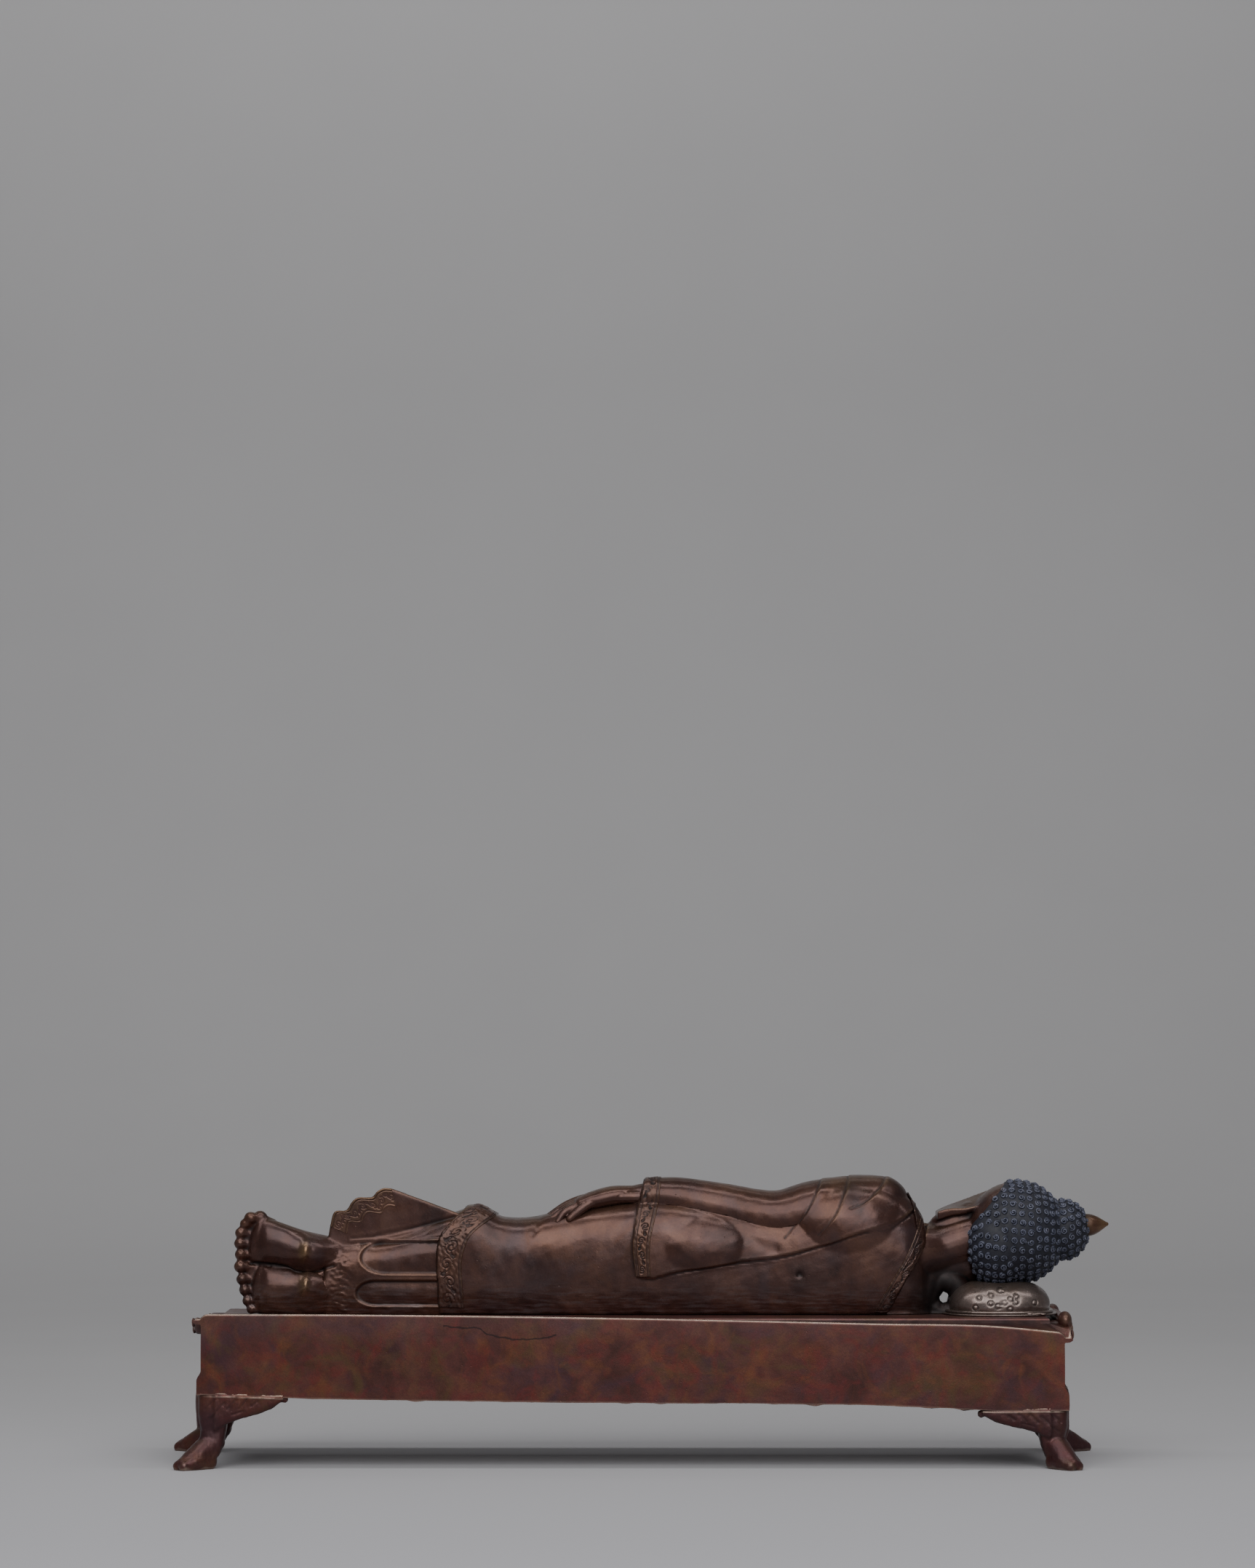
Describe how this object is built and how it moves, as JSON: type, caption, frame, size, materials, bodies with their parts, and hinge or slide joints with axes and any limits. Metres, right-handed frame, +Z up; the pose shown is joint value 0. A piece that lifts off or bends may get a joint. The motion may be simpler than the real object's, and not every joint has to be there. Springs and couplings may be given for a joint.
{
  "type": "reclining buddha statue",
  "caption": "Cast bronze buddha in a long robe, lying on its side with its head on a pillow, on a low hollow couch with hoofed bracket legs.",
  "frame": {"origin": "on the floor, midway between the ends and between the front and back feet", "axes": "+X towards the figure's head, +Y the way its face looks, +Z up"},
  "size_m": [0.6303, 0.1547, 0.1899],
  "materials": {
    "couch_bronze": "red-brown mottled patina, satin, edges polished bright",
    "figure_bronze": "dark brown patina, satin, worn golden on its edges, dark in the carving",
    "pillow_bronze": "grey-brown, rubbed bright on top, with punched rings",
    "hair_paint": "matte dark blue paint, dusty on the curls"
  },
  "bodies": {
    "root": {"couch": "couch_bronze", "pillow": "pillow_bronze", "reclining_figure": "figure_bronze"}
  },
  "joints": []
}
